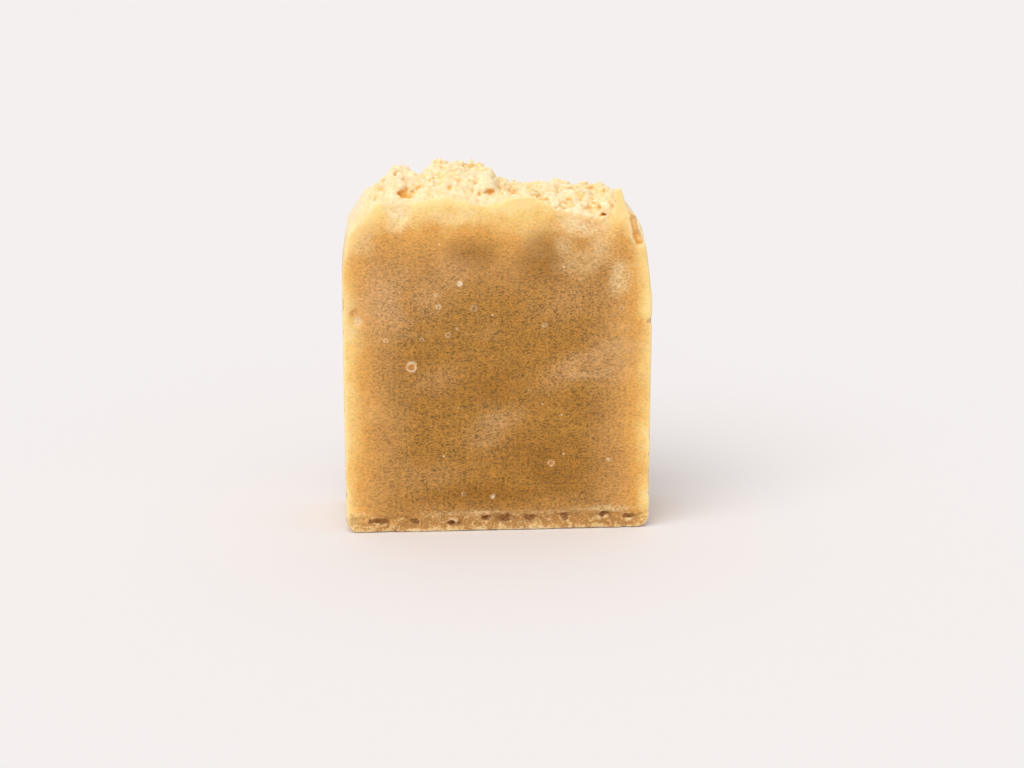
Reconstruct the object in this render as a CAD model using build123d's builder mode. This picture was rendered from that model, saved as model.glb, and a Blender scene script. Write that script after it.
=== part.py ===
"""A bar of hand-made soap, cut as a slice from a loaf.

The frame has its origin at the centre of the base and +Z up, through the crumbled top.
+X runs along the width, from mould wall to mould wall. Y is the thickness, between the
two cut faces, and the front cut face looks along -Y. All sizes are in millimetres.

The bar is one solid: a slab with the outline of the loaf, bevelled at its shoulders, a heap
of crumbled soap on its shelf, lumps bedded in the heap, and pits, a crack, chips and voids.
"""

import os
from math import cos, radians, sin, sqrt

from build123d import *

os.makedirs("parts", exist_ok=True)

# Overall size
bar_width = 63.5  # between the mould walls
bar_thickness = 25.4  # between the cut faces
bar_height = 76.2  # from the base to the highest crumb

# Slab. Its shelf carries the heap, and heights near the top are measured from the shelf
heap_rise = 7.6  # from the shelf to the highest crumb
base_corner_radius = 2.8  # in the loaf's outline, at the foot of each wall
edge_radius = 0.7  # round the base and the walls, at both cut faces
left_wall_drop = 13.1  # from the shelf down to where the left shoulder leaves the wall
right_wall_drop = 18.6
left_shoulder_run = 8.7  # from the wall's plane in to the shelf
right_shoulder_run = 6.9
left_shoulder_corners = [(1.3, 5.4), (5.4, -0.6)]  # in from the wall's plane, down from the shelf
right_shoulder_corners = [(1.3, 8.1), (3.6, 2.3)]
shoulder_radius = 3.0  # where the shoulders turn

# The bevels at the shoulders of both cut faces
left_bevel_drop = 9.3  # from the shelf down to where the bevel leaves the wall, on the cut face
right_bevel_drop = 15.9
left_bevel_slope = 50.0  # degrees from level, along the cut face
right_bevel_slope = 69.5
bevel_lean = 52.0  # degrees between the bevel and the cut face

# The shelf's edge on the cut face: share of the shelf from left to right, rise over the shelf
shelf_edge = [(0, 1.0), (0.12, -0.2), (0.28, 0.5), (0.45, -1.0), (0.62, 1.8), (0.78, -0.8), (1, -2.3)]

# The heap's ridge: share of the shelf, share of the heap's greatest rise
ridge_line = [
    (0, 0.3),
    (0.05, 0.85),
    (0.15, 0.65),
    (0.26, 1.0),
    (0.42, 0.95),
    (0.52, 0.42),
    (0.94, 0.34),
    (1, -0.2),
]
ridge_offset = 1.5  # of the ridge behind the middle of the thickness
heap_margin = 1.0  # of bare shelf in front of the heap and behind it
heap_bedding = 5.0  # depth of the heap's own solid below the lowest point of the shelf
facet_size = 3.0  # of the broken facets on the heap
facet_depth = 1.5  # of a facet's deepest corner below the heap's swell

# The fin at the right end of the front cut face
fin_inset = 7.2  # from the right wall's plane to the fin's tip
fin_rise = 3.1  # from the shelf to the fin's tip
fin_width = 5.0  # at its foot
fin_thickness = 1.6
fin_taper = 25.0  # degrees, towards the back

# Lumps: the radius of each size of lump, and how many there are of each
lumps = {4.2: 12, 3.0: 22, 2.0: 34}
chunk_corners = 13  # of a lump, a pit or a chip
chunk_roughness = 0.3  # of the radius, by which a corner may fall short of it
chunk_flatness = 0.75  # of a chunk's height to its width
lump_bedding = 0.4  # of a lump's radius, from the heap's swell down to the lump's centre

# Pits, crack, chips and voids
pit_count = 12
pit_radius = 1.9
crack_width = 1.6  # at the top of the right shoulder
crack_depth = 7.0  # down from the shoulder's upper corner
crack_run = 8.0  # through the thickness, from the back of the fin
chips = [(-1, 42.5, 1.3), (-1, 30.0, 0.8), (1, 46.0, 1.1), (1, 22.5, 0.7)]  # side, height, radius
void_lengths = [4.2, 2.0, 2.4, 3.0, 1.6, 2.8, 2.2, 2.6]  # from left to right
void_width = 0.9
void_depth = 1.3
void_height = 2.3  # from the base to the row of voids
void_inset = 7.0  # from the walls to the first void and the last

half_width = bar_width / 2
half_thickness = bar_thickness / 2
shelf_height = bar_height - heap_rise
left_wall_height = shelf_height - left_wall_drop
right_wall_height = shelf_height - right_wall_drop
shelf_left = left_shoulder_run - half_width
shelf_length = bar_width - left_shoulder_run - right_shoulder_run
heap_front = heap_margin - half_thickness
heap_depth = bar_thickness - 2 * heap_margin
columns = round(shelf_length / facet_size)
rows = round(heap_depth / facet_size)


def scatter(index, seed):
    """A number from 0 to 1 that looks random and is the same at each build."""
    return (sin(12.9898 * index + 78.233 * seed) * 43758.5453) % 1


def along(line, share):
    """The height at a share of the shelf, on a line of (share, height) points."""
    for (start, low), (end, high) in zip(line, line[1:]):
        if share <= end:
            return low + (high - low) * (share - start) / (end - start)
    return line[-1][1]


def swell(share, depth_share):
    """The heap's smooth height over the shelf: the shelf's edge at both cut faces, the ridge between."""
    ridge_share = 0.5 + ridge_offset / heap_depth
    side = ridge_share if depth_share < ridge_share else 1 - ridge_share
    fall = (abs(depth_share - ridge_share) / side) ** 2
    return along(shelf_edge, share) * fall + heap_rise * along(ridge_line, share) * (1 - fall)


def shelf_x(share):
    """The place along X of a share of the shelf."""
    return shelf_left + share * shelf_length


def facet_rise(column, row):
    """The height over the shelf of one corner of the heap's facets."""
    return swell(column / columns, row / rows) - facet_depth * scatter(column, row)


def bevel(side, face, drop, slope):
    """The plane of a shoulder's bevel. Side is -1 at the left wall, face is -1 at the front cut face."""
    up_the_slope = Vector(-side * cos(radians(slope)), 0, sin(radians(slope)))
    out_of_the_slope = Vector(side * sin(radians(slope)), 0, cos(radians(slope)))
    outward = out_of_the_slope * cos(radians(bevel_lean)) + Vector(0, face * sin(radians(bevel_lean)), 0)
    foot = Vector(side * half_width, face * half_thickness, shelf_height - drop)
    return Plane(origin=foot, x_dir=up_the_slope, z_dir=outward)


def chunk(radius, seed):
    """The corners of a broken chunk: spread over a sphere by the golden angle, then roughened."""
    golden_angle = radians(180 * (3 - sqrt(5)))
    corners = []
    for index in range(chunk_corners):
        height = 1 - 2 * (index + 0.5) / chunk_corners
        ring = sqrt(1 - height**2)
        turn = index * golden_angle
        reach = radius * (1 - chunk_roughness * scatter(index, seed))
        corners.append(Vector(ring * cos(turn), ring * sin(turn), height * chunk_flatness) * reach)
    return corners


def bed_places(count, reach, seed, sunk):
    """Places spread over the heap, with turns, whose pieces of that reach stay inside the bar's box."""
    places = []
    for index in range(count):
        share, depth_share = (index * 0.618 + 0.31 * seed) % 1, (index * 0.755 + 0.17 * seed) % 1
        y_room = half_thickness - reach
        y = max(-y_room, min(y_room, heap_front + heap_depth * depth_share))
        z = shelf_height + swell(share, (y - heap_front) / heap_depth) - sunk
        turns = tuple(360 * scatter(index, seed + axis) for axis in (1, 2, 3))
        places.append(Location((shelf_x(share), y, min(z, bar_height - reach)), turns))
    return places


highest_corner = max(facet_rise(c, r) for c in range(columns + 1) for r in range(rows + 1))
heap_lift = heap_rise - highest_corner  # brings the highest corner to the bar's height

with BuildPart() as soap_bar:
    # Slab: the loaf's outline, carried through the thickness
    with BuildSketch(Plane.XZ.offset(-half_thickness)):
        with BuildLine():
            edge_points = [(shelf_x(share), shelf_height + rise) for share, rise in shelf_edge]
            right_shoulder = [(half_width - x, shelf_height - drop) for x, drop in right_shoulder_corners]
            left_shoulder = [(x - half_width, shelf_height - drop) for x, drop in left_shoulder_corners]
            Spline(*edge_points)
            FilletPolyline(
                edge_points[-1],
                *right_shoulder[::-1],
                (half_width, right_wall_height),
                (half_width, 0),
                (-half_width, 0),
                (-half_width, left_wall_height),
                *left_shoulder,
                edge_points[0],
                radius=[shoulder_radius] * 2 + [0] + [base_corner_radius] * 2 + [0] + [shoulder_radius] * 2,
            )
        make_face()
    extrude(amount=bar_thickness)
    with BuildSketch(Plane.XZ.offset(half_thickness)):
        with BuildLine():
            fin_x = half_width - fin_inset
            fin_foot = shelf_height + min(rise for _, rise in shelf_edge) - fin_width / 2
            Polyline(
                (fin_x - fin_width / 2, fin_foot),
                (fin_x, shelf_height + fin_rise),
                (fin_x + fin_width / 2, fin_foot),
                close=True,
            )
        make_face()
    extrude(amount=-fin_thickness, taper=fin_taper)
    fillet(edges().filter_by(Plane.XZ).filter_by_position(Axis.Z, 0, right_wall_height), edge_radius)
    for face in (-1, 1):
        split(bisect_by=bevel(-1, face, left_bevel_drop, left_bevel_slope), keep=Keep.BOTTOM)
        split(bisect_by=bevel(1, face, right_bevel_drop, right_bevel_slope), keep=Keep.BOTTOM)

    # Heap: ruled facets between sections across the thickness
    bed = shelf_height + min(rise for _, rise in shelf_edge) - heap_bedding
    for row in range(rows + 1):
        with BuildSketch(Plane.XZ.offset(-heap_front - heap_depth * row / rows)):
            with BuildLine():
                ridge = [
                    (shelf_x(column / columns), shelf_height + heap_lift + facet_rise(column, row))
                    for column in range(columns + 1)
                ]
                Polyline((ridge[0][0], bed), *ridge, (ridge[-1][0], bed), close=True)
            make_face()
    loft(ruled=True)

    # Lumps bedded in the heap, the largest first
    for seed, (radius, count) in enumerate(lumps.items()):
        with Locations(*bed_places(count, radius, seed, lump_bedding * radius)):
            ConvexPolyhedron(chunk(radius, seed))

    # Pits between the lumps
    with Locations(*bed_places(pit_count, pit_radius, len(lumps), 0)):
        ConvexPolyhedron(chunk(pit_radius, len(lumps)), mode=Mode.SUBTRACT)

    # Crack in the right shoulder, wedge-shaped and open at the top
    with BuildSketch(Plane.XZ.offset(half_thickness - fin_thickness)):
        with BuildLine():
            crack_x, shoulder_top = right_shoulder[-1]
            Polyline(
                (crack_x - crack_width / 2, bar_height),
                (crack_x + crack_width / 2, bar_height),
                (crack_x + crack_width / 2, shoulder_top - crack_depth),
                close=True,
            )
        make_face()
    extrude(amount=-crack_run, mode=Mode.SUBTRACT)

    # Chips in the front cut face's edges at the walls
    for seed, (side, height, radius) in enumerate(chips):
        with Locations((side * half_width, -half_thickness, height)):
            ConvexPolyhedron(chunk(radius, seed), mode=Mode.SUBTRACT)

    # Voids along the foot of the front cut face
    with BuildSketch(Plane.XZ.offset(half_thickness)):
        void_pitch = (bar_width - 2 * void_inset) / (len(void_lengths) - 1)
        for number, length in enumerate(void_lengths):
            with Locations((void_inset - half_width + number * void_pitch, void_height)):
                SlotOverall(length, void_width)
    extrude(amount=-void_depth, mode=Mode.SUBTRACT)

soap_bar.part.label = "soap_bar"
export_step(soap_bar.part, "parts/soap_bar.step")
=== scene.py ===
"""The looks of a bar of hand-made soap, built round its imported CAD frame.

The bar is one closed skin. Its shape is a field of signed distances, negative inside the soap,
worked out with numpy on a grid of points in millimetres, and the skin lies where the field is zero.
"""

import logging
from collections.abc import Callable
from dataclasses import dataclass, field
from enum import Enum
from functools import reduce
from math import cos, radians, sin

import bpy
import numpy as np
from mathutils import Euler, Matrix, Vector


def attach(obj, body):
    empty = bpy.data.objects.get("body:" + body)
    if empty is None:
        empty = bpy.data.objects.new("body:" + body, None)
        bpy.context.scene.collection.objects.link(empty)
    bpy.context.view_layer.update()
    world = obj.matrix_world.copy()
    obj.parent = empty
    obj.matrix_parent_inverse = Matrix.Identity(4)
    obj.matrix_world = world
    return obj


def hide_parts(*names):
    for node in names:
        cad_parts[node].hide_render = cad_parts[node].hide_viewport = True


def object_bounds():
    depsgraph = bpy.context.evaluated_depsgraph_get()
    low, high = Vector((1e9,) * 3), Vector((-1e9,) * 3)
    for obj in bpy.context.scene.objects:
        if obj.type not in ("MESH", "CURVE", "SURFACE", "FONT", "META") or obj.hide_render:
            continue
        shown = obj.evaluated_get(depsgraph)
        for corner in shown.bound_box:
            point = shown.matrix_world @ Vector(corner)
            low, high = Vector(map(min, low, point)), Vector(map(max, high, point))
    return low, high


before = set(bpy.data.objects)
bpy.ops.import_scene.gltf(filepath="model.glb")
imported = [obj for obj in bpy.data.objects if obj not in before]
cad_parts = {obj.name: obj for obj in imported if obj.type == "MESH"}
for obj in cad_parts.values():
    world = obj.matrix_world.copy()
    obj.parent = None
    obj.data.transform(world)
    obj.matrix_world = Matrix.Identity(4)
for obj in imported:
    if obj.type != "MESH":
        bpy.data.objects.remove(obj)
cad_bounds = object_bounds()

log = logging.getLogger("soap_bar")

MM = 0.001  # metres in a millimetre
FAR = 50.0  # millimetres, more than any distance that matters
Array = np.ndarray
Tint = tuple[float, float, float, float]


class Mixing(Enum):
    """The ways in which one colour is laid over another."""

    PLAIN = "MIX"
    SHADE = "MULTIPLY"


class Sum(Enum):
    """The sums that a Math node does here."""

    ADD = "ADD"
    SUBTRACT = "SUBTRACT"
    MULTIPLY = "MULTIPLY"
    DIVIDE = "DIVIDE"
    ABSOLUTE = "ABSOLUTE"
    LEAST = "MINIMUM"
    MOST = "MAXIMUM"
    ROOT = "SQRT"


class Mark(Enum):
    """The numbers held at the skin's vertices for its finish.

    BROKEN is how surely the soap is broken there, HOLLOW and NOOK how much soap stands round the
    place widely and closely, BEVEL how near a slanting cut is, PIT whether a pit's wall is there, and
    WALL whether the mould's side shaped it.
    """

    # the finish paints shade where HOLLOW, NOOK and PIT are high, and painted light where BEVEL is
    BROKEN = "broken"
    HOLLOW = "hollow"
    NOOK = "nook"
    BEVEL = "bevel"
    PIT = "pit"
    WALL = "wall"


# Shape tools


def smooth_step(low: float, high: float, value: Array) -> Array:
    """Rise from 0 at low to 1 at high, level at both ends."""
    share = np.clip((value - low) / (high - low), 0.0, 1.0)
    return share * share * (3.0 - 2.0 * share)


def round_max(first: Array, second: Array, radius: float | Array) -> Array:
    """Keep what two fields share, with a round edge.

    Where both fields lie within the radius of their edge, the result is the distance to a quarter
    circle of that radius; elsewhere it is the greater of the two.

    Args:
        first: Signed distances to the first surface.
        second: Signed distances to the second surface.
        radius: Radius of the edge between them.

    Returns:
        Signed distances to the shared shape.
    """
    corner = np.hypot(np.maximum(first + radius, 0.0), np.maximum(second + radius, 0.0))
    return np.minimum(np.maximum(first, second), -radius) + corner


def soft_min(first: Array, second: Array, radius: float) -> Array:
    """Join two fields, with a fillet of about that radius where they meet."""
    blend = np.clip(0.5 + 0.5 * (second - first) / radius, 0.0, 1.0)
    return second + (first - second) * blend - radius * blend * (1.0 - blend)


@dataclass(frozen=True)
class Points:
    """Points in space, in millimetres, held as three arrays."""

    x: Array
    y: Array
    z: Array

    def shifted(self, x: Array, y: Array, z: Array) -> "Points":
        """Return the points moved by three arrays."""
        return Points(self.x + x, self.y + y, self.z + z)

    def part(self, chosen: Array) -> "Points":
        """Return the points that a mask or a slice chooses."""
        return Points(self.x[chosen], self.y[chosen], self.z[chosen])


@dataclass(frozen=True)
class Noise:
    """Smooth noise from -1 to 1: random values on a lattice that repeats, blended between its points.

    Attributes:
        size: Spacing of the lattice, in millimetres.
        seed: Chooses the random values.
        depth: What the noise is multiplied by, in millimetres where it moves a surface.
        side: Points along each side of the lattice before it repeats.
    """

    size: float
    seed: int
    depth: float = 1.0
    side: int = 32

    def at(self, points: Points) -> Array:
        """Work out the noise.

        Args:
            points: Where the noise is wanted.

        Returns:
            The noise at each point.
        """
        table = np.random.default_rng(self.seed).random((self.side,) * 3).astype(np.float32) * 2.0 - 1.0
        below, above, share = [], [], []
        for value in (points.x, points.y, points.z):
            place = value / self.size + 0.37 * self.seed
            floor = np.floor(place)
            rest = (place - floor).astype(np.float32)
            share.append(rest * rest * (3.0 - 2.0 * rest))
            index = floor.astype(np.int32)
            below.append(index % self.side)
            above.append((index + 1) % self.side)
        total = np.float32(0.0)
        for across, x_share in ((below[0], 1.0 - share[0]), (above[0], share[0])):
            for deep, y_share in ((below[1], 1.0 - share[1]), (above[1], share[1])):
                column = table[across, deep, below[2]] * (1.0 - share[2]) + table[across, deep, above[2]] * share[2]
                total = total + x_share * y_share * column
        return self.depth * total


@dataclass(frozen=True)
class Grains:
    """Broken grains of one size: the cells round jittered centres, some solid and some gone.

    A centre is solid where the parent shape holds it. At a point, the field is the soft distance to
    the nearest solid centre less the soft distance to the nearest missing one, halved, so it is zero
    on the flat walls between solid and missing cells, and its edges are rounded by the softness.

    Attributes:
        size: Spacing of the centres, in millimetres.
        seed: Chooses the jitter.
        jitter: How far a centre strays from its place, as a share of the spacing.
        softness: Rounding of the grains' edges, as a share of the spacing.
        scatter: Depth by which chance adds or removes a grain, in millimetres.
    """

    size: float
    seed: int
    jitter: float = 0.9
    softness: float = 0.09
    scatter: float = 0.5

    def at(self, points: Points, parent: Callable[[Points], Array]) -> Array:
        """Return the grains' field at the points.

        Args:
            points: Where the field is wanted.
            parent: Field of the shape that the grains fill.

        Returns:
            Signed distances to the grains' surface.
        """
        stacked = np.stack([points.x, points.y, points.z])
        first = np.floor(stacked.min(1) / self.size).astype(int) - 2
        counts = np.floor(stacked.max(1) / self.size).astype(int) + 3 - first
        random = np.random.default_rng(self.seed)
        spread = random.random((3, *counts)).astype(np.float32) * self.jitter + (1.0 - self.jitter) / 2
        lattice = np.indices(counts).astype(np.float32) + first.reshape(3, 1, 1, 1)
        centres = (lattice + spread) * self.size
        chance = (random.random(counts).astype(np.float32) - 0.5) * 2.0 * self.scatter
        held = parent(Points(*(axis.ravel() for axis in centres))).reshape(counts) + chance < 0.0
        places = zip((points.x, points.y, points.z), first)
        x, y, z = (np.floor(axis / self.size).astype(np.int32) - start for axis, start in places)
        sharp = 1.0 / (self.softness * self.size)
        solid = np.full(len(points.x), 1e-30, np.float32)
        gone = np.full(len(points.x), 1e-30, np.float32)
        for step in np.ndindex(3, 3, 3):
            cell = (x + step[0] - 1, y + step[1] - 1, z + step[2] - 1)
            away = (
                (centres[0][cell] - points.x) ** 2
                + (centres[1][cell] - points.y) ** 2
                + (centres[2][cell] - points.z) ** 2
            )
            weight = np.exp(-sharp * np.sqrt(away))
            inside = held[cell]
            solid += weight * inside
            gone += weight * ~inside
        return (np.log(gone) - np.log(solid)) / (2.0 * sharp)


@dataclass(frozen=True)
class Pebbles:
    """Round pebbles packed together: one bump round each of a lattice's jittered centres.

    Attributes:
        size: Spacing of the centres, in millimetres.
        seed: Chooses the jitter.
        depth: What the bumps are multiplied by, in millimetres where they move a surface.
        reach: Radius of a bump, as a share of the spacing.
        side: Centres along each side of the lattice before it repeats.
    """

    size: float
    seed: int
    depth: float = 1.0
    reach: float = 0.6
    side: int = 24

    def at(self, points: Points) -> Array:
        """Work out the bumps: 1 less the square of the way to the nearest centre, as a share of the reach.

        Args:
            points: Where the field is wanted.

        Returns:
            The bumps times their depth: 1 at a centre, 0 at the reach from it, and less farther out.
        """
        random = np.random.default_rng(self.seed).random((3, *(self.side,) * 3)).astype(np.float32)
        places = [axis / self.size for axis in (points.x, points.y, points.z)]
        cells = [np.floor(place).astype(np.int32) for place in places]
        rests = [place - cell for place, cell in zip(places, cells)]
        nearest = np.full(len(points.x), 9.0, np.float32)
        for step in np.ndindex(3, 3, 3):
            cell = tuple((place + move - 1) % self.side for place, move in zip(cells, step))
            away = sum((random[axis][cell] + (step[axis] - 1) - rests[axis]) ** 2 for axis in range(3))
            nearest = np.minimum(nearest, away)
        return self.depth * (1.0 - nearest / self.reach**2)


@dataclass(frozen=True)
class Grid:
    """Evenly spaced points in a box, in millimetres, and the skin through a field on them."""

    low: tuple[float, float, float]
    high: tuple[float, float, float]
    step: float

    @property
    def counts(self) -> tuple[int, ...]:
        """Return the number of points along X, Y and Z."""
        return tuple(int(np.ceil((top - bottom) / self.step)) + 1 for bottom, top in zip(self.low, self.high))

    def axes(self) -> tuple[Array, Array, Array]:
        """Work out the places along each axis.

        Returns:
            The places along X, Y and Z, shaped to combine into the whole grid.
        """
        x, y, z = (
            (bottom + self.step * np.arange(count)).astype(np.float32) for bottom, count in zip(self.low, self.counts)
        )
        return x[:, None, None], y[None, :, None], z[None, None, :]

    def points(self, chosen: Array) -> Points:
        """Pick out some of the grid's points.

        Args:
            chosen: Their numbers, counted through the whole grid.

        Returns:
            The points.
        """
        places = np.unravel_index(chosen, self.counts)
        return Points(
            *((bottom + self.step * place).astype(np.float32) for bottom, place in zip(self.low, places))
        )

    def sample(self, values: Array, points: Points) -> Array:
        """Blend the values straight along each axis, for points between the grid's.

        Args:
            values: A number for each of the grid's points.
            points: Where the values are wanted.

        Returns:
            The value at each point.
        """
        below, share = [], []
        for axis, place in enumerate((points.x, points.y, points.z)):
            steps = np.clip((place - self.low[axis]) / self.step, 0, self.counts[axis] - 1.001)
            below.append(steps.astype(np.int64))
            share.append(steps - below[axis])
        total = 0.0
        for corner in np.ndindex(2, 2, 2):
            weight = np.prod([part if side else 1.0 - part for side, part in zip(corner, share)], axis=0)
            total = total + weight * values[tuple(start + side for start, side in zip(below, corner))]
        return total

    def skin(self, values: Array) -> tuple[Array, Array]:
        """Lay a closed skin of four-sided faces where the values change sign.

        Each cell of the grid that the skin crosses gets one vertex, at the mean of the crossings on
        its twelve edges. Each edge of the grid that the skin crosses gets one face, which joins the
        vertices of the four cells round that edge and points out of the negative side.

        Args:
            values: Field on the grid, positive all round its border.

        Returns:
            Vertex places in millimetres, and faces as rows of four vertex numbers.
        """
        counts = np.array(values.shape)
        cells = counts - 1
        total = int(np.prod(cells))
        inside = values < 0
        sums = np.zeros((3, total), np.float64)
        crossings = np.zeros(total, np.int32)
        faces = []
        for axis in range(3):
            other = [a for a in range(3) if a != axis]
            start = np.moveaxis(inside, axis, 0)[:-1]
            end = np.moveaxis(inside, axis, 0)[1:]
            along, *rest = np.nonzero(start != end)
            place = np.empty((3, len(along)), np.int64)
            place[axis], place[other[0]], place[other[1]] = along, rest[0], rest[1]
            after = place.copy()
            after[axis] += 1
            before_value = values[tuple(place)]
            share = before_value / (before_value - values[tuple(after)])
            crossing = place.astype(np.float64)
            crossing[axis] += share
            corners = []
            for back_first, back_second in ((1, 1), (0, 1), (0, 0), (1, 0)):
                cell = place.copy()
                cell[other[0]] -= back_first
                cell[other[1]] -= back_second
                number = np.ravel_multi_index(tuple(cell), tuple(cells))
                corners.append(number)
                crossings += np.bincount(number, minlength=total).astype(np.int32)
                for part in range(3):
                    sums[part] += np.bincount(number, crossing[part], total)
            quads = np.stack(corners, 1)
            outward = inside[tuple(place)] ^ (axis == 1)
            quads[~outward] = quads[~outward][:, ::-1]
            faces.append(quads)
        used = np.flatnonzero(crossings)
        vertices = (sums[:, used] / crossings[used]).T * self.step + np.array(self.low)
        numbers = np.zeros(total, np.int64)
        numbers[used] = np.arange(len(used))
        return vertices, numbers[np.concatenate(faces)]


def largest_piece(vertices: Array, faces: Array) -> tuple[Array, Array]:
    """Keep the largest joined part of a mesh, and drop crumbs in the air and bubbles inside.

    Every vertex takes the lowest number among its neighbours again and again, until each joined
    part holds one number.

    Args:
        vertices: Vertex places.
        faces: Rows of vertex numbers.

    Returns:
        The vertices and faces of the largest part.
    """
    label = np.arange(len(vertices))
    while True:
        lowest = label[faces].min(1)
        fresh = label.copy()
        for corner in range(faces.shape[1]):
            np.minimum.at(fresh, faces[:, corner], lowest)
        fresh = fresh[fresh]
        if np.array_equal(fresh, label):
            break
        label = fresh
    kept = label == np.bincount(label).argmax()
    numbers = np.cumsum(kept) - 1
    return vertices[kept], numbers[faces[kept[faces[:, 0]]]]


# The bar's shape


@dataclass(frozen=True)
class Line:
    """A height that follows the bar's width, through points joined and then rounded off.

    Attributes:
        points: Pairs of place along X and height.
        softness: Half the width over which the corners are rounded.
    """

    points: tuple[tuple[float, float], ...]
    softness: float = 0.6

    def at(self, x: Array) -> Array:
        """Work out the mean height of the joined points over the softness to either side.

        Args:
            x: Places along the width.

        Returns:
            The height at each place.
        """
        places, heights = zip(*self.points)
        shifts = np.linspace(-self.softness, self.softness, 7)
        return sum(np.interp(x + shift, places, heights) for shift in shifts).astype(np.float32) / len(shifts)


def edge_plane(points: Points, start: tuple[float, float], end: tuple[float, float]) -> Array:
    """Work out the distance to a plane across the thickness, through two places in the outline.

    Args:
        points: Where the distance is wanted.
        start: Place in the outline, X and Z.
        end: A second place; the soap lies on the right of the way from start to end.

    Returns:
        Signed distances, negative on the soap's side.
    """
    run, rise = end[0] - start[0], end[1] - start[1]
    length = float(np.hypot(run, rise))
    return ((points.x - start[0]) * -rise + (points.z - start[1]) * run) / length


@dataclass(frozen=True)
class Pit:
    """A hollow in the soap, with the shape of a rough egg, in millimetres.

    Attributes:
        centre: Its middle.
        sizes: Its half sizes along X, Y and Z.
        rough: How far its wall strays.
        margin: How far round the hollow the field is changed.
        lip: Radius of its edge.
        wall: The pattern of its wall.
    """

    centre: tuple[float, float, float]
    sizes: tuple[float, float, float]
    rough: float = 0.15
    margin: float = 1.2
    lip: float = 0.15
    wall: Noise = Noise(0.9, 51)

    def near(self, points: Points) -> tuple[Array, Array]:
        """Work out the distance to the hollow's wall, for the points round it alone.

        Args:
            points: Where the field is wanted.

        Returns:
            Numbers of the points round the hollow, and their signed distances, negative inside the hollow.
        """
        close = np.ones(len(points.x), bool)
        for axis, middle, size in zip((points.x, points.y, points.z), self.centre, self.sizes):
            close &= np.abs(axis - middle) < size + self.margin
        chosen = np.flatnonzero(close)
        inner = points.part(chosen)
        out = np.zeros(len(chosen), np.float32)
        for axis, middle, size in zip((inner.x, inner.y, inner.z), self.centre, self.sizes):
            out += ((axis - middle) / size) ** 2
        return chosen, (np.sqrt(out) - 1.0) * min(self.sizes) + self.rough * self.wall.at(inner)

    def carve(self, points: Points, distance: Array) -> None:
        """Take the hollow out of a field, in place.

        Args:
            points: The field's points.
            distance: The field.
        """
        chosen, hollow = self.near(points)
        distance[chosen] = round_max(distance[chosen], -hollow, self.lip)


@dataclass(frozen=True)
class Scar:
    """A shallow broken patch of a cut face, inside a polygon, in millimetres.

    Attributes:
        corners: The polygon's corners, X and Z, the soap's patch on the right of the way round them.
        depth: How deep it is at most.
        fade: Width over which its edge rises to the face.
        ragged: How its edge strays.
    """

    corners: tuple[tuple[float, float], ...]
    depth: float
    fade: float = 0.6
    ragged: Noise = Noise(1.7, 61, 0.5)

    def at(self, points: Points) -> Array:
        """Work out the patch's depth: full where the farthest edge plane is a fade inside, and none outside.

        Args:
            points: Where the field is wanted.

        Returns:
            The depth at each point.
        """
        out = np.full(len(points.x), -FAR, np.float32)
        for start, end in zip(self.corners, self.corners[1:] + self.corners[:1]):
            out = np.maximum(out, edge_plane(points, start, end))
        return self.depth * smooth_step(self.fade, -self.fade, out + self.ragged.at(points))


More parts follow.
